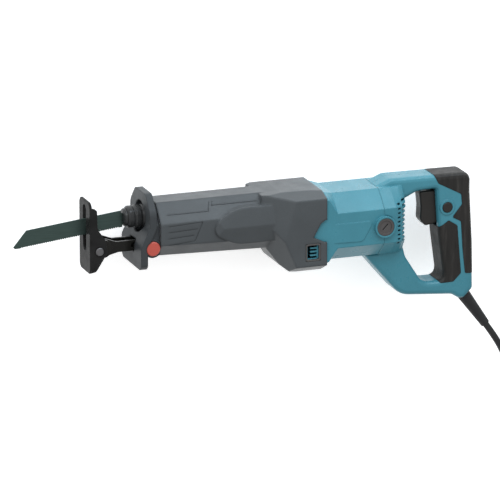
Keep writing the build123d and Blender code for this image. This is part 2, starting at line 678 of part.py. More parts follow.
with BuildPart() as armature_windings:
    for x_front, x_rear in ((-45.5, CORE_FRONT), (CORE_REAR, -8.6)):
        cylinder_x(x_front, x_rear, 18.2)
        cylinder_x(x_front, x_rear, SHAFT_R + 0.02, mode=Mode.SUBTRACT)
    fillet(armature_windings.edges().filter_by(GeomType.CIRCLE).filter_by(lambda e: e.radius > 18), 1.4)
    with BuildSketch(front(CORE_REAR)):
        with PolarLocations(CORE_R - 4.2, 14):
            SlotOverall(8.6, 2.8)
    extrude(amount=CORE_REAR - CORE_FRONT)
save(armature_windings, "armature_windings")

with BuildPart() as commutator:
    cylinder_x(-8.4, 9, BRUSH_R)
    cylinder_x(-8.4, -6.6, BRUSH_R + 1.8)
    cylinder_x(-8.4, 9, SHAFT_R + 0.02, mode=Mode.SUBTRACT)
    with Locations(front(1.5)):
        with PolarLocations(BRUSH_R, 24):
            Box(2, 0.5, 16, mode=Mode.SUBTRACT)
save(commutator, "commutator")

with BuildPart() as cooling_fan:
    cylinder_x(-55.6, -54.0, 33)
    cylinder_x(-55.6, -47, 8.5)
    with Locations(front(-50.5)):
        with PolarLocations(22.5, 16):
            Box(20, 1.6, 7.4, rotation=(0, 0, 24))
    cylinder_x(-57, -46, SHAFT_R + 0.02, mode=Mode.SUBTRACT)
save(cooling_fan, "cooling_fan")

with BuildPart() as field_stator:
    with BuildSketch(front(CORE_REAR)):
        Circle(33.5)
        Circle(CORE_R + 0.6, mode=Mode.SUBTRACT)
        for hand in (1, -1):
            with Locations((23 * hand, 0)):
                Rectangle(11, 33, mode=Mode.SUBTRACT)
    extrude(amount=CORE_REAR - CORE_FRONT)
save(field_stator, "field_stator")

with BuildPart() as field_coils:
    for hand in (1, -1):
        block((-45.8, -9.4), (-15.8, 15.8), sorted((21.5 * hand, 28 * hand)))
        block((-39, -15.5), (-8, 8), sorted((20 * hand, 29 * hand)), mode=Mode.SUBTRACT)
    fillet(field_coils.edges().filter_by(Axis.Z), 1.8)
save(field_coils, "field_coils")

with BuildPart() as brush_holders:
    for hand in (1, -1):
        cylinder_z(0, 0, *sorted((15 * hand, 39.6 * hand)), 7.0)
        block((-3.1, 3.1), (-4.6, 4.6), sorted((14 * hand, 41 * hand)), mode=Mode.SUBTRACT)
save(brush_holders, "brush_holders")

with BuildPart() as carbon_brushes:
    for hand in (1, -1):
        block((-3, 3), (-4.5, 4.5), sorted((12 * hand, 28 * hand)))
    cylinder_x(-4, 4, BRUSH_R + RUN, mode=Mode.SUBTRACT)
save(carbon_brushes, "carbon_brushes")

with BuildPart() as brush_springs:
    for hand in (1, -1):
        add(coil_spring(place(0, 0, 28.5 * hand), (0, 0, hand), 10.5, 6, 2.3, 0.3))
save(brush_springs, "brush_springs")

for hand, label in ((1, "brush_cap_left"), (-1, "brush_cap_right")):
    with BuildPart() as brush_cap:
        cylinder_z(0, 0, *sorted((39.8 * hand, 45.9 * hand)), 10.2)
        cylinder_z(0, 0, *sorted((44.7 * hand, 47 * hand)), 7.6, mode=Mode.SUBTRACT)
        with BuildSketch(side(44.7 * hand)):
            Rectangle(9, 1.5, rotation=45)
        extrude(amount=-1.8 * hand, mode=Mode.SUBTRACT)
    save(brush_cap, label)

# ---------------------------------------------------------------- handle

HANDLE = [
    (0.1, 39.2), (17, 46.3, 14), (114.0, 45.2, 9), (113.8, 24, 40), (117.4, -38, 40), (118.6, -92, 7),
    (105.5, -104.7, 7), (93, -97, 10), (30, -91.5, 26), (-15.3, -38.3), (0.1, -38.3),
]
LOOP = [
    (28.8, 19, 9), (50, 28.8, 12), (73, 29.8, 3), (77, -26, 20), (83, -70), (82, -79.5, 7),
    (57, -79.2, 16), (36.5, -47, 24), (27.6, -14, 30),
]
GRIP_WALL = 3.6
EDGE_R = 5.2
PROUD = 0.35                 # the soft grips, above the shells
BLOCK = [(0.1, 42, 22), (14, 41, 22), (24, 36.5, 20), (30, 29.5, 17), (33.5, 18.5, 12)]
REAR_PAD = [
    (67, 60), (69.6, 46), (74.4, 36.2, 3), (102.4, 21.3, 3), (103.4, 9.1, 3), (91.8, -5.1, 2),
    (102.4, -10.8, 3), (104.9, -45.2), (108.1, -72.7, 2), (130, -74), (130, 60),
]
FRONT_PAD = [
    (55, -18), (75.1, -16.8, 2), (87.4, -8.4, 2), (98, -15.2, 3), (103, -71.9, 3), (93.7, -81.2, 3),
    (78.1, -81.7, 3), (71.3, -72.6, 3), (55, -66),
]
SCREWS = [(22, 37), (62, 38.5), (105, 36), (84, -88), (52, -86.5), (12, -54)]
CLAMP = [CORD_EXIT[k] - 20 * CORD_DIRECTION[k] for k in (0, 1)]
CLAMP_SCREWS = [
    (CLAMP[0] - CORD_DIRECTION[1] * away, CLAMP[1] + CORD_DIRECTION[0] * away) for away in (6.4, -6.4)
]


def rounded_plate(corners, half, inset, radius, grow):
    """A plate of an outline whose edges are rounded in three steps, or its hole if grow is -1."""
    turns = [math.radians(30 * step) for step in range(4)]
    steps = [(radius * (1 - math.sin(t)), radius * (1 - math.cos(t))) for t in turns]
    with BuildPart() as plate:
        extrude(outline(side(), *corners, inset=inset * grow), amount=half - radius, both=True)
        for hand in (1, -1):
            levels = [
                outline(side((half - depth) * hand), *corners, inset=(inset + away) * grow)
                for depth, away in steps
            ]
            for lower, upper in zip(levels, levels[1:]):
                loft([lower, upper], ruled=True)
    return plate.part


def handle_frame(inset, radius):
    """The loop of the handle with rounded edges, or the shape that lies inset below it."""
    with BuildPart() as frame:
        add(rounded_plate(HANDLE, HANDLE_HALF - inset, inset, radius, 1))
        add(rounded_plate(LOOP, HANDLE_HALF - inset, inset, radius, -1), mode=Mode.SUBTRACT)
    return frame.part


def handle_block(inset):
    """The end of the handle that meets the motor housing and narrows to the loop's thickness."""
    with BuildPart() as block_part:
        for (x_front, first, flat_1), (x_rear, second, flat_2) in zip(BLOCK, BLOCK[1:]):
            ends = [
                octagon(x, half, MOTOR_TOP, -38.3, flat, flat, 20, -20, inset)
                for x, half, flat in ((x_front, first, flat_1), (x_rear, second, flat_2))
            ]
            loft(ends, ruled=True)
        extrude(outline(side(), *LOOP, inset=-inset), amount=50, both=True, mode=Mode.SUBTRACT)
    return block_part.part


with BuildPart() as handle_outside:
    add(handle_frame(0, EDGE_R))
    add(handle_block(0))
    # the housing of the lock-on button, on the left side only
    cylinder_z(*LOCK_BUTTON, 10, HANDLE_HALF + 0.9, 9)

with BuildPart() as handle_inside:
    add(handle_frame(GRIP_WALL, 2.2))
    add(handle_block(SHELL))
    extrude(octagon(-0.5, 42, MOTOR_TOP, -38.3, 22, 22, 20, -20, SHELL), amount=3.5)

with BuildPart() as grip_core:
    add(handle_frame(GRIP_SKIN, EDGE_R - GRIP_SKIN))

with BuildPart() as grip_surface:
    add(handle_frame(-PROUD, EDGE_R + PROUD))
    cylinder_z(*LOCK_BUTTON, 10, 25, 9.4, mode=Mode.SUBTRACT)

pads = []
for region in (REAR_PAD, FRONT_PAD):
    with BuildPart() as pad:
        extrude(outline(side(), *region), amount=HANDLE_HALF + 2, both=True)
        add(grip_surface.part, mode=Mode.INTERSECT)
        add(grip_core.part, mode=Mode.SUBTRACT)
    pads.append(pad.part)

exit_plane = Plane(place(*CORD_EXIT, 0), x_dir=(0, 0, 1), z_dir=(*CORD_DIRECTION, 0))

for hand, word in ((1, "left"), (-1, "right")):
    half_space = side(0.02 * hand)
    keep = Keep.TOP if hand > 0 else Keep.BOTTOM
    with BuildPart() as handle_shell:
        add(handle_outside.part)
        add(handle_inside.part, mode=Mode.SUBTRACT)
        add(pads, mode=Mode.SUBTRACT)
        for x, y in SCREWS:
            cylinder_z(x, y, *sorted((0, (HANDLE_HALF - GRIP_WALL + 0.5) * hand)), 4.2)
            if hand > 0:
                cylinder_z(x, y, -1, 11, 1.9 + PLAY, mode=Mode.SUBTRACT)
            else:
                cylinder_z(x, y, -19, 1, 1.9 + PLAY, mode=Mode.SUBTRACT)
                cylinder_z(x, y, -19, -11.5, 4.0, mode=Mode.SUBTRACT)
        split(bisect_by=half_space, keep=keep)
        # openings: trigger, brush ring, cooling slots, cord guard
        block((52, 92), (-16.5, 27.2), (-9, 9), mode=Mode.SUBTRACT)
        cylinder_z(0, 0, *sorted((20 * hand, 50 * hand)), BOSS_R + PLAY, mode=Mode.SUBTRACT)
        for number in range(10):
            y = 25 - 5 * number
            block((23.4, 31.5), (y - 1.3, y + 1.3), sorted((23 * hand, 45 * hand)), mode=Mode.SUBTRACT)
            block((17.0, 20.8), (y - 3.7, y - 1.5), sorted((30 * hand, 45 * hand)), mode=Mode.SUBTRACT)
        with Locations(exit_plane):
            Cylinder(8.4, 30, mode=Mode.SUBTRACT)
        with Locations(exit_plane.offset(-5.7)):
            Cylinder(9.8, 3.4, mode=Mode.SUBTRACT)
        if hand > 0:
            cylinder_z(*LOCK_BUTTON, 10.8, 14.5, 9)
            cylinder_z(*LOCK_BUTTON, 11.8, 20, 6.0 + PLAY, mode=Mode.SUBTRACT)
            cylinder_z(*LOCK_BUTTON, 10, 13, 3.0, mode=Mode.SUBTRACT)
        else:
            for x, y in CLAMP_SCREWS:
                cylinder_z(x, y, -14.4, 3.8, 2.9)
                cylinder_z(x, y, -12, 4, 1.5, mode=Mode.SUBTRACT)
    save(handle_shell, f"handle_shell_{word}")

    with BuildPart() as soft_grip:
        add(pads)
        split(bisect_by=half_space, keep=keep)
        block((52, 92), (-16.5, 27.2), (-9, 9), mode=Mode.SUBTRACT)
    save(soft_grip, f"soft_grip_{word}")

with BuildPart() as handle_screws:
    for x, y in SCREWS:
        cylinder_z(x, y, -11.6, 9.5, 1.9)
        cylinder_z(x, y, -14, -11.5, 3.6)
        block((x - 0.4, x + 0.4), (y - 3, y + 3), (-14.5, -13), mode=Mode.SUBTRACT)
save(handle_screws, "handle_screws")

TRIGGER = [
    (55.3, 25.8, 3), (90, 25.8), (90, -8), (80, -8, 3), (76, -13, 3), (63, -15, 3), (56.6, -8, 8),
    (57.5, 8, 40),
]

with BuildPart() as trigger:
    extrude(outline(side(), *TRIGGER), amount=8.5, both=True)
    outer_edges = [
        e for e in trigger.edges()
        if abs(e.center().Z - HALF_WIDTH) > 8.4 and e.center().X < DATUM_X + 62
    ]
    fillet(outer_edges, 2.2)
    block((66, 95), (-6, 24), (-6.5, 6.5), mode=Mode.SUBTRACT)
save(trigger, "trigger")

with BuildPart() as switch_body:
    block((97.8, 108), (-14, 26), (-12, 12))
    block((74, 98), (2, 16), (-5, 5))
save(switch_body, "switch_body")

with BuildPart() as lock_on_button:
    cylinder_z(*LOCK_BUTTON, 14.6, 19.3, 6.0)
    fillet(lock_on_button.faces().sort_by(Axis.Z)[-1].edges(), 0.8)
    cylinder_z(*LOCK_BUTTON, 11.2, 15, 2.4)
save(lock_on_button, "lock_on_button")

with BuildPart() as lock_on_spring:
    add(coil_spring(place(*LOCK_BUTTON, 12.2), (0, 0, 1), 2.0, 2, 3.9, 0.3))
save(lock_on_spring, "lock_on_spring")

# ---------------------------------------------------------------- cord, its guard, coil and plug

with BuildPart() as cord_guard:
    with BuildSketch(exit_plane.offset(-7.2)):
        Circle(9.5)
    extrude(amount=3.0)
    with BuildSketch(exit_plane.offset(-7.2)):
        Circle(8.0)
    with BuildSketch(exit_plane.offset(GUARD_LENGTH)):
        Circle(5.2)
    loft()
save(cord_guard, "cord_guard")

with BuildPart() as cord_clamp:
    with Locations(exit_plane.offset(-20)):
        with Locations((5.5, 0)):
            Box(3.2, 18.8, 7)
    for x, y in CLAMP_SCREWS:
        cylinder_z(x, y, 3, 8, 1.7, mode=Mode.SUBTRACT)
save(cord_clamp, "cord_clamp")

with BuildPart() as cord_clamp_screws:
    for x, y in CLAMP_SCREWS:
        cylinder_z(x, y, -8, 7.15, 1.48)
        cylinder_z(x, y, 7.15, 8.9, 2.9)
save(cord_clamp_screws, "cord_clamp_screws")

# heights from here on are above the surface that the saw lies on
GUARD_END = [CORD_EXIT[k] + (GUARD_LENGTH + 0.1) * CORD_DIRECTION[k] for k in (0, 1)]
COIL = (238.0, -178.0)
COIL_R = 44.0
COIL_HALF = 12.2
COIL_LOW = 1.4
COIL_HIGH = 25.0
ROUTE = [
    (*GUARD_END, 46.5), (153.6, -158.6, 46.2), (164.5, -176.5, 41.5), (175.0, -193.5, 31.0),
    (187.0, -208.5, 18.5), (201.5, -220.5, 8.8), (219.0, -227.5, 5.0), (238.0, -229.8, 5.3),
]
TAIL = [
    (270.0, -206.5, 29.2), (279.5, -196.0, 29.2), (287.5, -182.5, 29.0), (294.5, -167.0, 27.0),
    (296.5, -151.0, 18.5), (293.0, -136.5, 10.5), (290.4, -124.0, 9.2), (290.0, -112.0, 9.2),
]


def lay(points):
    return [Vector(DATUM_X + x, DATUM_Y + y, z) for x, y, z in points]


def tube(label, points):
    """A round cord along straight runs joined by arcs as large as the runs allow."""
    spots = lay(points)
    runs = [b - a for a, b in zip(spots, spots[1:])]
    radii = []
    for first, second in zip(runs, runs[1:]):
        half_turn = math.radians(first.get_angle(second)) / 2
        radii.append(0.45 * min(first.length, second.length) / math.tan(half_turn))
    with BuildPart() as cord:
        with BuildLine() as path:
            FilletPolyline(*spots, radius=radii)
        with BuildSketch(Plane(path.line @ 0, z_dir=path.line % 0)):
            Circle(CORD_D / 2)
        sweep(path=path.line)
    save(cord, label)


tube("power_cord", ROUTE)
tube("cord_tail", TAIL)

with BuildPart() as cord_coil:
    with BuildSketch(Plane(lay([(*COIL, 0)])[0], x_dir=(1, 0, 0), z_dir=(0, -1, 0))):
        with Locations((COIL_R, (COIL_LOW + COIL_HIGH) / 2)):
            RectangleRounded(2 * COIL_HALF, COIL_HIGH - COIL_LOW, 3.7)
    revolve(axis=Axis(lay([(*COIL, 0)])[0], (0, 0, 1)))
save(cord_coil, "cord_coil")

with BuildPart() as coil_tie:
    with BuildSketch(Plane(lay([(*COIL, 0)])[0], x_dir=(0, 1, 0), z_dir=(1, 0, 0))):
        with Locations((COIL_R, (COIL_LOW + COIL_HIGH) / 2)):
            RectangleRounded(2 * COIL_HALF + 2.6, COIL_HIGH - COIL_LOW + 2.6, 4.6)
            RectangleRounded(2 * COIL_HALF + 0.6, COIL_HIGH - COIL_LOW + 0.6, 3.9, mode=Mode.SUBTRACT)
    extrude(amount=4, both=True)
    add(cord_coil.part, mode=Mode.SUBTRACT)
save(coil_tie, "coil_tie")

PLUG_LENGTH = 36.0
PIN_LENGTH = 17.0
PIN_GAP = 12.7

with BuildPart() as plug:
    plug_plane = Plane(lay([TAIL[-1]])[0], x_dir=(1, 0, 0), z_dir=(0, 1, 0))
    sections = ((0, 11, 10), (12, 14, 13), (14, 24, 17), (PLUG_LENGTH, 25, 17.8))
    for (start, wide_1, thick_1), (end, wide_2, thick_2) in zip(sections, sections[1:]):
        with BuildSketch(plug_plane.offset(start + 0.3)):
            RectangleRounded(wide_1, thick_1, 4)
        with BuildSketch(plug_plane.offset(end + 0.3)):
            RectangleRounded(wide_2, thick_2, 4)
        loft()
save(plug, "plug")

with BuildPart() as plug_pins:
    for hand in (1, -1):
        with Locations(plug_plane.offset(PLUG_LENGTH + 0.35 + PIN_LENGTH / 2)):
            with Locations((PIN_GAP / 2 * hand, 0)):
                Box(1.5, 6.35, PIN_LENGTH)
save(plug_pins, "plug_pins")
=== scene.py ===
"""The looks of a corded reciprocating saw that lies on its right side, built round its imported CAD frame."""
import json
import math

import bpy
from mathutils import Matrix, Vector


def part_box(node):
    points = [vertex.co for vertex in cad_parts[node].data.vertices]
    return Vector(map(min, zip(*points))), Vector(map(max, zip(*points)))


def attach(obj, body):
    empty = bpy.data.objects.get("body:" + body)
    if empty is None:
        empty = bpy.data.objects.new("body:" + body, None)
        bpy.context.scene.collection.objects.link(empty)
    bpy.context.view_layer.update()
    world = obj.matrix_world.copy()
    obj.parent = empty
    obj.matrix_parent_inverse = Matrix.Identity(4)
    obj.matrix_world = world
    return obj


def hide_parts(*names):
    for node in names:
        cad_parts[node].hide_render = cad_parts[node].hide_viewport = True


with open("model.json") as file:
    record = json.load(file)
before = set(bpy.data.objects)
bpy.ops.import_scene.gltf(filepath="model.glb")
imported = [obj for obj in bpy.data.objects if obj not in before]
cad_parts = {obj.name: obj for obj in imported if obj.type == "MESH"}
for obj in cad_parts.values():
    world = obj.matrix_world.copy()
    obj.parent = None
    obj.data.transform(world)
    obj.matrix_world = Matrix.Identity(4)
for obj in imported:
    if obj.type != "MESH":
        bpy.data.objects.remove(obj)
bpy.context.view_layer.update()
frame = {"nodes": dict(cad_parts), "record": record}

# ---------------------------------------------------------------- places taken from the frame

NODES = frame["nodes"]
SLOT_OF = {entry["node"]: entry["material_slot"] for entry in frame["record"]["subparts"]}


def corners(node):
    """A CAD node's lowest and highest corner."""
    low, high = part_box(node)
    return Vector(low), Vector(high)


def middle(node):
    low, high = corners(node)
    return (low + high) / 2


# the brush line: the axis through both brush caps, upright as the saw lies
BRUSH = middle("brush_cap_left")
CORD_D = 0.0076


def spot(x, y, z):
    """A point given from the brush line in x and y and from the floor in z."""
    return Vector((BRUSH.x + x, BRUSH.y + y, z))


# ---------------------------------------------------------------- camera, floor and light

SWING = math.radians(20)          # the camera looks from the blade's end
RISE = math.radians(16.5)         # and from above the saw
DISTANCE = 6.0                    # from the camera to the middle of its picture
VIEW_WIDTH = 0.560                # what the picture takes in at that distance
FARTHEST_SEEN = 60.0
AIM_LEFT = 0.1522                 # the picture's centre, from the left brush cap
AIM_DOWN = 0.0255
FLOOR_REACH = 6.0                 # from the frame's zero to each edge of the floor
FLOOR_GLOW = 0.5
WORLD_AXIS = (0.1, 0.1, 1.0)      # shares for mixed(): the way in which the studio brightens
WORLD_SPREAD = 0.9                # how far along that axis the brightening runs, each way
WORLD_DIM = 0.05                  # the brightness at its far end, away from the camera
WORLD_BRIGHT = 0.8                # and on the camera's side
COOL = (0.92, 0.97, 1.0)
SKY = (0.78, 0.9, 1.0)
WHITE = (1.0, 1.0, 1.0)
# name, shares for mixed(), distance, (width, height), power in watts, colour
LIGHTS = [
    ("key", (-0.1, 0.62, 1.2), 1.7, (1.4, 0.5), 12, COOL),
    ("strip", (0.42, 0.81, 0.44), 0.75, (0.8, 0.10), 2.3, SKY),
    ("front", (-0.9, 0.2, 0.8), 1.8, (0.6, 1.3), 1.0, WHITE),
    ("edge", (0.9, 0.3, 0.6), 1.8, (0.6, 1.0), 2.0, WHITE),
]

to_camera = Vector((-math.sin(SWING) * math.cos(RISE), math.sin(RISE), math.cos(SWING) * math.cos(RISE)))
picture_up = Vector((math.sin(SWING) * math.sin(RISE), math.cos(RISE), -math.cos(SWING) * math.sin(RISE)))
picture_right = picture_up.cross(to_camera)


def turned_to(direction, up):
    """The rotation that looks against a direction, with the picture's top along up."""
    right = up.cross(direction).normalized()
    return Matrix((right, direction.cross(right), direction)).transposed().to_euler()


def make_camera():
    """The camera, aimed from the left brush cap. Returns the middle of its picture."""
    cap_top = Vector((BRUSH.x, BRUSH.y, corners("brush_cap_left")[1].z))
    target = cap_top - AIM_LEFT * picture_right - AIM_DOWN * picture_up
    lens = bpy.data.cameras.new("camera")
    lens.angle = 2 * math.atan(VIEW_WIDTH / 2 / DISTANCE)
    lens.clip_end = FARTHEST_SEEN
    camera = bpy.data.objects.new("camera", lens)
    camera.location = target + DISTANCE * to_camera
    camera.rotation_euler = turned_to(to_camera, picture_up)
    bpy.context.collection.objects.link(camera)
    bpy.context.scene.camera = camera
    return target


def soft_light(name, direction, distance, size, power, colour):
    """An oblong area light that faces the saw from a direction."""
    lamp = bpy.data.lights.new(name, "AREA")
    lamp.shape = "RECTANGLE"
    lamp.size, lamp.size_y = size
    lamp.energy = power
    lamp.color = colour
    light = bpy.data.objects.new(name, lamp)
    direction = direction.normalized()
    light.location = TARGET + distance * direction
    light.rotation_euler = direction.to_track_quat("Z", "Y").to_euler()
    bpy.context.collection.objects.link(light)


def mixed(*shares):
    """A direction from shares of the picture's right, its up and the way to the camera."""
    axes = (picture_right, picture_up, to_camera)
    return sum((share * axis for share, axis in zip(shares, axes)), Vector())


def make_floor():
    """A plain pale floor."""
    mesh = bpy.data.meshes.new("floor")
    reach = FLOOR_REACH
    rim = [(-reach, -reach, 0), (reach, -reach, 0), (reach, reach, 0), (-reach, reach, 0)]
    mesh.from_pydata(rim, [], [(0, 1, 2, 3)])
    floor = bpy.data.objects.new("floor", mesh)
    bpy.context.collection.objects.link(floor)
    look = Look("floor_paper", Roughness=0.9, Emission_Color=(1, 1, 1, 1), Emission_Strength=FLOOR_GLOW)
    cloud = look.noise(1.5, 2)
    look.feed("Base Color", look.blend(cloud, (0.93, 0.93, 0.93), (0.96, 0.96, 0.96)))
    mesh.materials.append(look.material)


def make_world():
    """A pale studio, darker away from the camera's side."""
    world = bpy.data.worlds.new("studio")
    world.use_nodes = True
    nodes, links = world.node_tree.nodes, world.node_tree.links
    direction = nodes.new("ShaderNodeTexCoord").outputs["Generated"]
    along = nodes.new("ShaderNodeVectorMath")
    along.operation = "DOT_PRODUCT"
    along.inputs[1].default_value = mixed(*WORLD_AXIS).normalized()
    links.new(direction, along.inputs[0])
    level = nodes.new("ShaderNodeMapRange")
    level.interpolation_type = "SMOOTHSTEP"
    level.inputs["From Min"].default_value = -WORLD_SPREAD
    level.inputs["From Max"].default_value = WORLD_SPREAD
    level.inputs["To Min"].default_value = WORLD_DIM
    level.inputs["To Max"].default_value = WORLD_BRIGHT
    links.new(along.outputs["Value"], level.inputs["Value"])
    background = nodes["Background"]
    background.inputs["Color"].default_value = (1, 1, 1, 1)
    links.new(level.outputs["Result"], background.inputs["Strength"])
    bpy.context.scene.world = world
    bpy.context.scene.view_settings.view_transform = "Standard"


def make_stage():
    """The floor, the soft studio lights and the world."""
    make_floor()
    for name, shares, distance, size, power, colour in LIGHTS:
        soft_light(name, mixed(*shares), distance, size, power, colour)
    make_world()


# ---------------------------------------------------------------- materials

EDGE_SAMPLES = 6
EDGE_FLAT = 0.99                  # the cosine of the turn where a face ends and its edge begins
EDGE_SHARP = 0.86                 # and where the edge is full


class Look:
    """A material under construction: its Principled shader and the nodes that feed it."""

    def __init__(self, name, **fixed):
        self.material = bpy.data.materials.new(name)
        self.material.use_nodes = True
        self.tree = self.material.node_tree
        self.shader = self.tree.nodes["Principled BSDF"]
        for socket, value in fixed.items():
            self.shader.inputs[socket.replace("_", " ")].default_value = value
        self.place = self.add("ShaderNodeTexCoord").outputs["Object"]

    def add(self, kind, inputs=(), **settings):
        """Adds a node. inputs is a list of (socket, value or another node's output)."""
        node = self.tree.nodes.new(kind)
        for name, value in settings.items():
            setattr(node, name, value)
        for socket, value in inputs:
            if isinstance(value, bpy.types.NodeSocket):
                self.tree.links.new(value, node.inputs[socket])
            else:
                node.inputs[socket].default_value = value
        return node

    def feed(self, socket, output):
        self.tree.links.new(output, self.shader.inputs[socket])

    def stretched(self, scale):
        """The place on the object, scaled by its own factor along each axis."""
        return self.add("ShaderNodeMapping", [("Vector", self.place), ("Scale", scale)]).outputs["Vector"]

    def noise(self, scale, detail=3, stretch=None, rough=0.5):
        place = self.stretched(stretch) if stretch else self.place
        inputs = [("Vector", place), ("Scale", scale), ("Detail", detail), ("Roughness", rough)]
        return self.add("ShaderNodeTexNoise", inputs).outputs["Fac"]

    def cells(self, scale):
        """The distance to the middle of the nearest of many small cells."""
        inputs = [("Vector", self.place), ("Scale", scale)]
        return self.add("ShaderNodeTexVoronoi", inputs, feature="F1").outputs["Distance"]

    def waves(self, scale, axis, distortion=0.0, detail=2.0):
        """Bands that follow each other along an axis."""
        inputs = [("Vector", self.place), ("Scale", scale), ("Distortion", distortion), ("Detail", detail)]
        return self.add("ShaderNodeTexWave", inputs, bands_direction=axis).outputs["Fac"]

    def ranged(self, value, low, high, to_low=0.0, to_high=1.0):
        """A value's range low to high, mapped to another and clamped there."""
        inputs = [("Value", value), ("From Min", low), ("From Max", high)]
        inputs += [("To Min", to_low), ("To Max", to_high)]
        return self.add("ShaderNodeMapRange", inputs).outputs["Result"]

    def math(self, operation, a, b=0.0):
        return self.add("ShaderNodeMath", [(0, a), (1, b)], operation=operation).outputs["Value"]

    def blend(self, factor, a, b):
        """A colour between a and b, each a colour or another node's output."""
        a, b = [value if isinstance(value, bpy.types.NodeSocket) else (*value, 1.0) for value in (a, b)]
        node = self.add("ShaderNodeMix", [(0, factor), (6, a), (7, b)], data_type="RGBA")
        return node.outputs[2]

    def bump(self, *layers, round_off=0.0006):
        """Bump from layers of (height, distance in metres), the finest last, over softly rounded edges."""
        normal = self.add("ShaderNodeBevel", [("Radius", round_off)], samples=EDGE_SAMPLES).outputs["Normal"]
        for height, distance in layers:
            inputs = [("Height", height), ("Distance", distance), ("Strength", 1.0), ("Normal", normal)]
            normal = self.add("ShaderNodeBump", inputs).outputs["Normal"]
        self.feed("Normal", normal)

    def edges(self, radius=0.0008):
        """1 along the object's edges and 0 on its faces, broken up by noise."""
        rounded = self.add("ShaderNodeBevel", [("Radius", radius)], samples=EDGE_SAMPLES).outputs["Normal"]
        normal = self.add("ShaderNodeNewGeometry").outputs["Normal"]
        turn = self.add("ShaderNodeVectorMath", [(0, rounded), (1, normal)], operation="DOT_PRODUCT")
        edge = self.ranged(turn.outputs["Value"], EDGE_FLAT, EDGE_SHARP)
        return self.math("MULTIPLY", edge, self.ranged(self.noise(260, 4), 0.4, 0.62))


def shade(colour, factor):
    """A colour made darker or lighter."""
    return tuple(min(1.0, channel * factor) for channel in colour)


def moulded(
    name, colour, roughness=0.45, grain=0.00004, scale=1500, wear=0.35, round_off=0.0008, specular=0.5
):
    """Moulded plastic: a fine spark-eroded grain, slow colour drift and slightly rubbed edges."""
    look = Look(name, Specular_IOR_Level=specular)
    drift = look.noise(28, 3)
    speckle = look.noise(900, 2)
    body = look.blend(look.ranged(drift, 0.3, 0.7), shade(colour, 0.93), shade(colour, 1.06))
    body = look.blend(look.ranged(speckle, 0.35, 0.65, 0.0, 0.35), body, shade(colour, 0.8))
    body = look.blend(look.math("MULTIPLY", look.edges(), wear), body, shade(colour, 1.7))
    look.feed("Base Color", body)
    look.feed("Roughness", look.ranged(look.noise(60, 5), 0.3, 0.7, roughness - 0.05, roughness + 0.06))
    look.bump((look.noise(220, 2), 0.000012), (look.noise(scale, 2, rough=0.6), grain), round_off=round_off)
    return look.material


def rubbery(name, colour, roughness=0.62, grain=0.00009, scale=900, wear=0.2, streaks=0.0):
    """Soft rubber: coarser skin, darker in its pores, and upright scuffs where it is held."""
    look = Look(name, Specular_IOR_Level=0.3)
    pores = look.cells(scale)
    drift = look.noise(35, 4)
    scuffs = look.noise(210, 4, (1, 0.09, 1), 0.65)
    body = look.blend(look.ranged(drift, 0.3, 0.7), shade(colour, 0.85), shade(colour, 1.2))
    body = look.blend(look.ranged(scuffs, 0.5, 0.68, 0.0, streaks), body, shade(colour, 3.2))
    body = look.blend(look.ranged(scuffs, 0.46, 0.34, 0.0, streaks), body, shade(colour, 0.25))
    body = look.blend(look.math("MULTIPLY", look.edges(), wear), body, shade(colour, 2.4))
    # darker towards the middle of each pore
    body = look.blend(look.ranged(pores, 0.0, 0.45, 0.25, 0.0), body, shade(colour, 0.4))
    look.feed("Base Color", body)
    look.feed("Roughness", look.ranged(look.noise(80, 4), 0.3, 0.7, roughness - 0.06, roughness + 0.08))
    look.bump((look.noise(150, 3), 0.00003), (scuffs, 0.0001 * streaks), (pores, grain))
    return look.material


def brushed(name, colour, roughness=0.3, along="x", depth=0.000012, stain=0.25):
    """Bare metal with fine lines along one axis, faint stains and bright edges."""
    look = Look(name, Metallic=1.0)
    stretch = {"x": (0.04, 1, 1), "y": (1, 0.04, 1), "z": (1, 1, 0.04)}[along]
    lines = look.noise(1800, 3, stretch)
    stains = look.noise(45, 5)
    body = look.blend(look.ranged(lines, 0.3, 0.7), shade(colour, 0.86), shade(colour, 1.1))
    body = look.blend(look.ranged(stains, 0.5, 0.75, 0.0, stain), body, shade(colour, 0.6))
    body = look.blend(look.math("MULTIPLY", look.edges(0.0005), 0.6), body, shade(colour, 1.5))
    look.feed("Base Color", body)
    look.feed("Roughness", look.ranged(lines, 0.25, 0.75, roughness - 0.06, roughness + 0.1))
    look.bump((lines, depth))
    return look.material


def blackened(name, colour, roughness=0.3, bare_edge_highlight=(0.2, 0.2, 0.2), wear=0.5, coat=0.0, specular=0.2):
    """Black-coated steel, rubbed through to the metal on its edges; those brighter metal edges are partly
    wear and partly painted highlights.
    """
    look = Look(name, Coat_Weight=coat, Coat_Roughness=0.18, Specular_IOR_Level=specular)
    # rubbed edges: partly wear through to the metal, partly a painted highlight along each edge
    worn_edge_highlight = look.math("MULTIPLY", look.edges(0.0006), wear)
    drift = look.noise(70, 5)
    body = look.blend(look.ranged(drift, 0.3, 0.7), shade(colour, 0.8), shade(colour, 1.25))
    look.feed("Base Color", look.blend(worn_edge_highlight, body, bare_edge_highlight))
    look.feed("Metallic", look.ranged(worn_edge_highlight, 0.2, 0.6, 0.0, 1.0))
    look.feed("Roughness", look.ranged(look.noise(140, 4), 0.3, 0.7, roughness - 0.05, roughness + 0.1))
    look.bump((look.noise(420, 3), 0.000015), (look.noise(2400, 2), 0.00001))
    return look.material


def cast(name, colour, roughness=0.45):
    """Die-cast metal: sandy skin with small pits."""
    look = Look(name, Metallic=1.0)
    sand = look.noise(700, 4)
    pits = look.cells(320)
    body = look.blend(look.ranged(sand, 0.3, 0.7), shade(colour, 0.8), shade(colour, 1.1))
    look.feed("Base Color", look.blend(look.ranged(pits, 0.0, 0.15, 0.5, 0.0), body, shade(colour, 0.4)))
    look.feed("Roughness", look.ranged(sand, 0.3, 0.7, roughness - 0.05, roughness + 0.15))
    look.bump((sand, 0.00006), (pits, 0.00003))
    return look.material


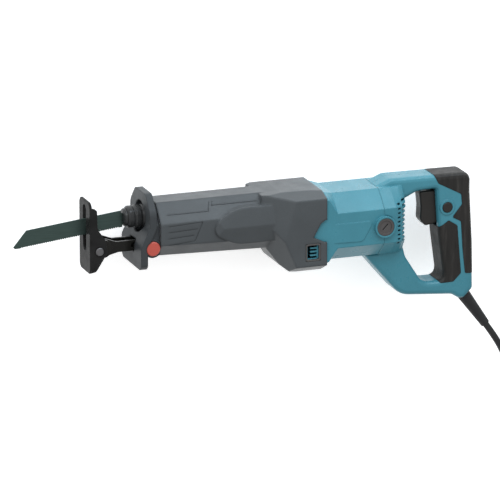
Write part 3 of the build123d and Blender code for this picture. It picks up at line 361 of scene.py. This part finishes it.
def laminated(name, colour):
    """Steel sheets stacked along the motor's axis."""
    look = Look(name, Metallic=1.0)
    bands = look.waves(320.0, "X", 0.3)
    look.feed("Base Color", look.blend(bands, shade(colour, 0.45), colour))
    look.feed("Roughness", look.ranged(look.noise(200, 4), 0.3, 0.7, 0.35, 0.55))
    look.bump((bands, 0.00006))
    return look.material


def wound(name, colour):
    """Varnished copper wire lying side by side."""
    look = Look(name, Metallic=1.0, Coat_Weight=0.6, Coat_Roughness=0.15)
    bands = look.waves(260.0, "Z", 1.5)
    look.feed("Base Color", look.blend(bands, shade(colour, 0.45), shade(colour, 1.1)))
    look.feed("Roughness", look.ranged(look.noise(240, 3), 0.3, 0.7, 0.25, 0.4))
    look.bump((bands, 0.0001))
    return look.material


def woven(name, colour):
    """A narrow woven strap."""
    look = Look(name, Specular_IOR_Level=0.3, Sheen_Weight=0.3)
    warp = look.waves(420.0, "X")
    weft = look.waves(300.0, "Z")
    weave = look.math("MULTIPLY", warp, weft)
    look.feed("Base Color", look.blend(weave, shade(colour, 0.5), shade(colour, 1.6)))
    look.feed("Roughness", look.ranged(look.noise(400, 3), 0.3, 0.7, 0.7, 0.85))
    look.bump((weave, 0.0002))
    return look.material


TEAL = (0.047, 0.205, 0.262)
COVER_GREY = (0.062, 0.069, 0.074)
GUARD_GREY = (0.040, 0.045, 0.049)
CAP_GREY = (0.062, 0.057, 0.056)
BLACK_RUBBER = (0.018, 0.018, 0.019)
NYLON_BLACK = (0.03, 0.03, 0.032)
BRIGHT_METAL = (0.62, 0.63, 0.64)
LOOKS = {}


def make_looks():
    """One material for each of the record's slots, under the slot's name."""
    LOOKS.update(
        body_plastic=moulded(
            "teal_nylon", TEAL, roughness=0.30, grain=0.000025, scale=1300, wear=0.25, round_off=0.0015,
            specular=0.3,
        ),
        cover_rubber=moulded(
            "grey_cover", COVER_GREY, roughness=0.36, grain=0.00006, scale=1100, wear=0.3, round_off=0.0035,
            specular=0.22,
        ),
        guard_plastic=moulded(
            "grey_guard", GUARD_GREY, roughness=0.44, grain=0.00005, scale=1100, wear=0.3, round_off=0.0025,
            specular=0.2,
        ),
        cast_aluminium=cast("cast_aluminium", BRIGHT_METAL),
        black_rubber=rubbery("black_rubber", BLACK_RUBBER),
        grip_rubber=rubbery(
            "grip_rubber", (0.0125, 0.0115, 0.0105), roughness=0.5, grain=0.0001, scale=700, wear=0.2,
            streaks=0.6,
        ),
        bronze=brushed("bronze", (0.55, 0.36, 0.18), roughness=0.4),
        blade_steel=brushed("blade_steel", (0.066, 0.098, 0.090), roughness=0.42),
        ground_steel=brushed("ground_steel", BRIGHT_METAL, roughness=0.22),
        dark_steel=blackened("dark_steel", (0.022, 0.023, 0.024), coat=0.2),
        spring_steel=brushed("spring_steel", (0.45, 0.45, 0.46), roughness=0.25, along="z"),
        # near-black face; its brightened rubbed edges are partly wear and partly the shoe's painted edge
        # highlights
        shoe_steel=blackened("shoe_steel", (0.016, 0.016, 0.016), roughness=0.28, specular=0.04),
        bar_steel=blackened("bar_steel", (0.007, 0.007, 0.006), roughness=0.2, wear=0.3),
        fastener_steel=brushed("fastener_steel", (0.16, 0.16, 0.165), roughness=0.35, along="z"),
        red_plastic=moulded("red_plastic", (0.45, 0.07, 0.048), roughness=0.36, grain=0.00002, wear=0.2),
        gear_steel=brushed("gear_steel", (0.42, 0.42, 0.43), along="y"),
        bearing_steel=brushed("bearing_steel", (0.58, 0.59, 0.60), roughness=0.2, along="y"),
        laminated_steel=laminated("laminated_steel", (0.38, 0.38, 0.39)),
        copper=wound("wound_copper", (0.72, 0.34, 0.18)),
        brass=brushed("brass", (0.78, 0.58, 0.26), roughness=0.25, along="y"),
        carbon=moulded("carbon", NYLON_BLACK, roughness=0.6),
        fan_plastic=moulded("fan_nylon", NYLON_BLACK, roughness=0.5),
        cap_plastic=moulded("cap_plastic", CAP_GREY, roughness=0.40, grain=0.00003, scale=1200, wear=0.3),
        trigger_plastic=moulded(
            "trigger_nylon", (0.0145, 0.013, 0.0115), roughness=0.34, grain=0.00003, scale=1300, wear=0.3,
            round_off=0.0015, specular=0.35,
        ),
        cord_rubber=rubbery("cord_rubber", BLACK_RUBBER, roughness=0.55, grain=0.00004, scale=1300),
        tie_plastic=woven("woven_strap", NYLON_BLACK),
        plug_rubber=moulded("plug_rubber", (0.02, 0.02, 0.021), roughness=0.5, grain=0.00006, scale=1000),
    )


# ---------------------------------------------------------------- the cord, from its guard to its plug

# from the guard down to the floor and to the coil, as points for spot()
ROUTE = [
    (0.1408, -0.1407, 0.0465), (0.1536, -0.1586, 0.0462),
    (0.1645, -0.1765, 0.0415), (0.1750, -0.1935, 0.0310),
    (0.1870, -0.2085, 0.0185), (0.2015, -0.2205, 0.0088),
    (0.2190, -0.2275, 0.0050), (0.2380, -0.2298, 0.0053),
]
# from the top of the coil, over its tie, down to the plug
TAIL = [
    (0.2700, -0.2065, 0.0292), (0.2795, -0.1960, 0.0292),
    (0.2875, -0.1825, 0.0290), (0.2945, -0.1670, 0.0270),
    (0.2963, -0.1512, 0.0192), (0.2936, -0.1367, 0.0120),
    (0.2908, -0.1240, 0.0094), (0.2900, -0.1120, 0.0092),
]
COIL_CENTRE = (0.2380, -0.1780)
STEPS_PER_TURN = 16
# the coil's winding: (turn, radius, height), from the outside at the floor to the top
WINDING = [
    (0, 0.0518, 0.0053), (2, 0.0362, 0.0053), (2.6, 0.0360, 0.0130),
    (4.6, 0.0518, 0.0130), (5.2, 0.0518, 0.0207), (7.0, 0.0366, 0.0207),
    (7.4, 0.0398, 0.0301), (7.6, 0.0403, 0.0303), (8.0625, 0.0426, 0.0292),
]
COIL_START = -90.0                # degrees; the winding runs anticlockwise


def wound_at(turn):
    """The point of the coil's winding at a turn."""
    for (first, r_1, z_1), (second, r_2, z_2) in zip(WINDING, WINDING[1:]):
        if turn <= second:
            break
    share = (turn - first) / (second - first)
    angle = math.radians(COIL_START + 360 * turn)
    radius = r_1 + (r_2 - r_1) * share
    x = COIL_CENTRE[0] + radius * math.cos(angle)
    y = COIL_CENTRE[1] + radius * math.sin(angle)
    return x, y, z_1 + (z_2 - z_1) * share


def make_cord():
    """The mains lead as one smooth curve: from the guard, round the coil, and over it to the plug."""
    steps = int(WINDING[-1][0] * STEPS_PER_TURN)
    turns = [wound_at(step / STEPS_PER_TURN) for step in range(1, steps + 1)]
    points = [spot(*point) for point in ROUTE + turns + TAIL]
    curve = bpy.data.curves.new("mains_lead", "CURVE")
    curve.dimensions = "3D"
    curve.bevel_depth = CORD_D / 2
    curve.bevel_resolution = 5
    curve.resolution_u = 6
    curve.use_fill_caps = True
    spline = curve.splines.new("NURBS")
    spline.points.add(len(points) - 1)
    for control, point in zip(spline.points, points):
        control.co = (*point, 1.0)
    spline.order_u = 3
    spline.use_endpoint_u = True
    lead = bpy.data.objects.new("mains_lead", curve)
    bpy.context.collection.objects.link(lead)
    curve.materials.append(LOOKS["cord_rubber"])
    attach(lead, "housing")
    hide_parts("power_cord", "cord_tail", "cord_coil")


# ---------------------------------------------------------------- frames round the cover's windows

WINDOW = (-0.0870, -0.02075)      # the window's middle, from the brush line
# half width, half height and corner radius
WINDOW_OUTER = (0.0088, 0.0100, 0.0026)
WINDOW_INNER = (0.0070, 0.0082, 0.0016)
FRAME_PROUD = 0.0002              # the frame's face, above the cover's
FRAME_SUNK_OUTSIDE = 0.0015
FRAME_SUNK_INSIDE = 0.0030
FRAME_ROUND = 0.0004


def ring_face(outer, inner, steps=5):
    """The points of two rounded rectangles, one round the other and with the same number of points."""
    loops = []
    for half_width, half_height, radius in (outer, inner):
        loop = []
        for corner in range(4):
            centre_x = (half_width - radius) * (1, -1, -1, 1)[corner]
            centre_y = (half_height - radius) * (1, 1, -1, -1)[corner]
            for step in range(steps + 1):
                angle = math.radians(90 * (corner + step / steps))
                loop.append((centre_x + radius * math.cos(angle), centre_y + radius * math.sin(angle)))
        loops.append(loop)
    return loops


def make_bezel(name, place, outward):
    """A dark rounded frame round one of the cover's windows, sunk into the cover."""
    outer, inner = ring_face(WINDOW_OUTER, WINDOW_INNER)
    levels = [
        (outer, -FRAME_SUNK_OUTSIDE), (outer, FRAME_PROUD), (inner, FRAME_PROUD), (inner, -FRAME_SUNK_INSIDE)
    ]
    points = [
        (place.x + x, place.y + y, place.z + outward * height) for loop, height in levels for x, y in loop
    ]
    count = len(outer)
    faces = []
    for level in range(len(levels) - 1):
        for step in range(count):
            following = (step + 1) % count
            face = [level * count + step, level * count + following]
            face += [(level + 1) * count + following, (level + 1) * count + step]
            faces.append(face if outward > 0 else face[::-1])
    mesh = bpy.data.meshes.new(name)
    mesh.from_pydata(points, [], faces)
    mesh.materials.append(LOOKS["cap_plastic"])
    bezel = bpy.data.objects.new(name, mesh)
    bpy.context.collection.objects.link(bezel)
    soft = bezel.modifiers.new("soft_edges", "BEVEL")
    soft.width = FRAME_ROUND
    soft.segments = 3
    soft.limit_method = "ANGLE"
    mesh.shade_smooth()
    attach(bezel, "housing")


# ---------------------------------------------------------------- CAD nodes


def dress_nodes():
    """Every CAD node that stays gets the material of its slot."""
    for name, node in NODES.items():
        node.data.materials.clear()
        node.data.materials.append(LOOKS[SLOT_OF[name]])


TARGET = make_camera()
make_stage()
make_looks()
dress_nodes()
make_bezel("window_frame_left", spot(*WINDOW, corners("barrel_cover")[1].z), 1)
make_bezel("window_frame_right", spot(*WINDOW, corners("barrel_cover")[0].z), -1)
make_cord()
